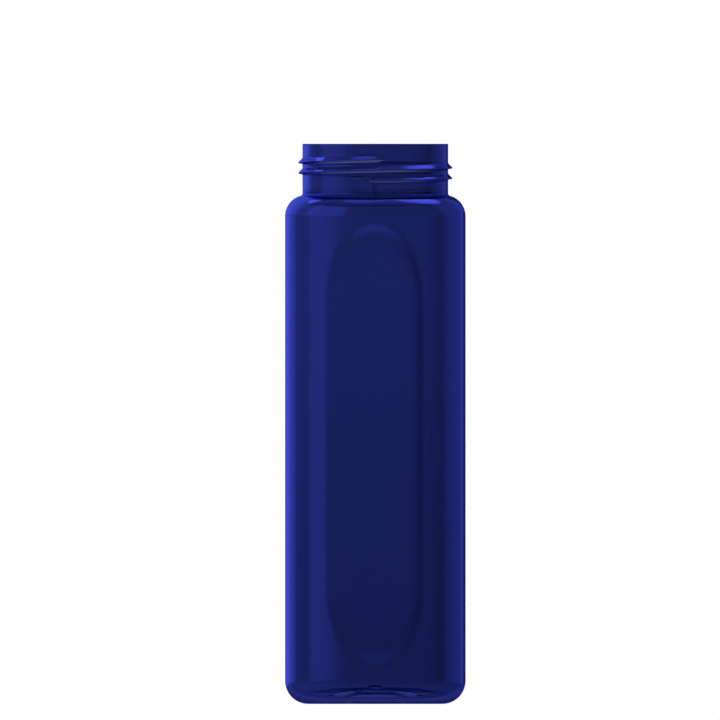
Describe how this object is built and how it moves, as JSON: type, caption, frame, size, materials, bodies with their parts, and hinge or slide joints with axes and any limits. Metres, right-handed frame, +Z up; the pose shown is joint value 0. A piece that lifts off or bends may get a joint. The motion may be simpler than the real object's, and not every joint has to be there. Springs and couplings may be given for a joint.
{
  "type": "wide-mouth bottle",
  "caption": "Tall round one-piece bottle in tinted clear plastic, with an open wide screw neck, a rounded shoulder and heel, a flat oval grip recess in the front and a ribbed push-up base.",
  "frame": {"origin": "centre of the standing face, on the bottle's axis", "axes": "+Z up along the bottle's axis, from the standing face to the rim; -Y is the front, where the thread starts and the oval recess lies; +X is to the right seen from the front"},
  "size_m": [0.073, 0.073, 0.2264],
  "materials": {
    "tinted_plastic": "polished, transparent deep cobalt-blue copolyester"
  },
  "bodies": {
    "root": {"bottle": "tinted_plastic"}
  },
  "joints": []
}
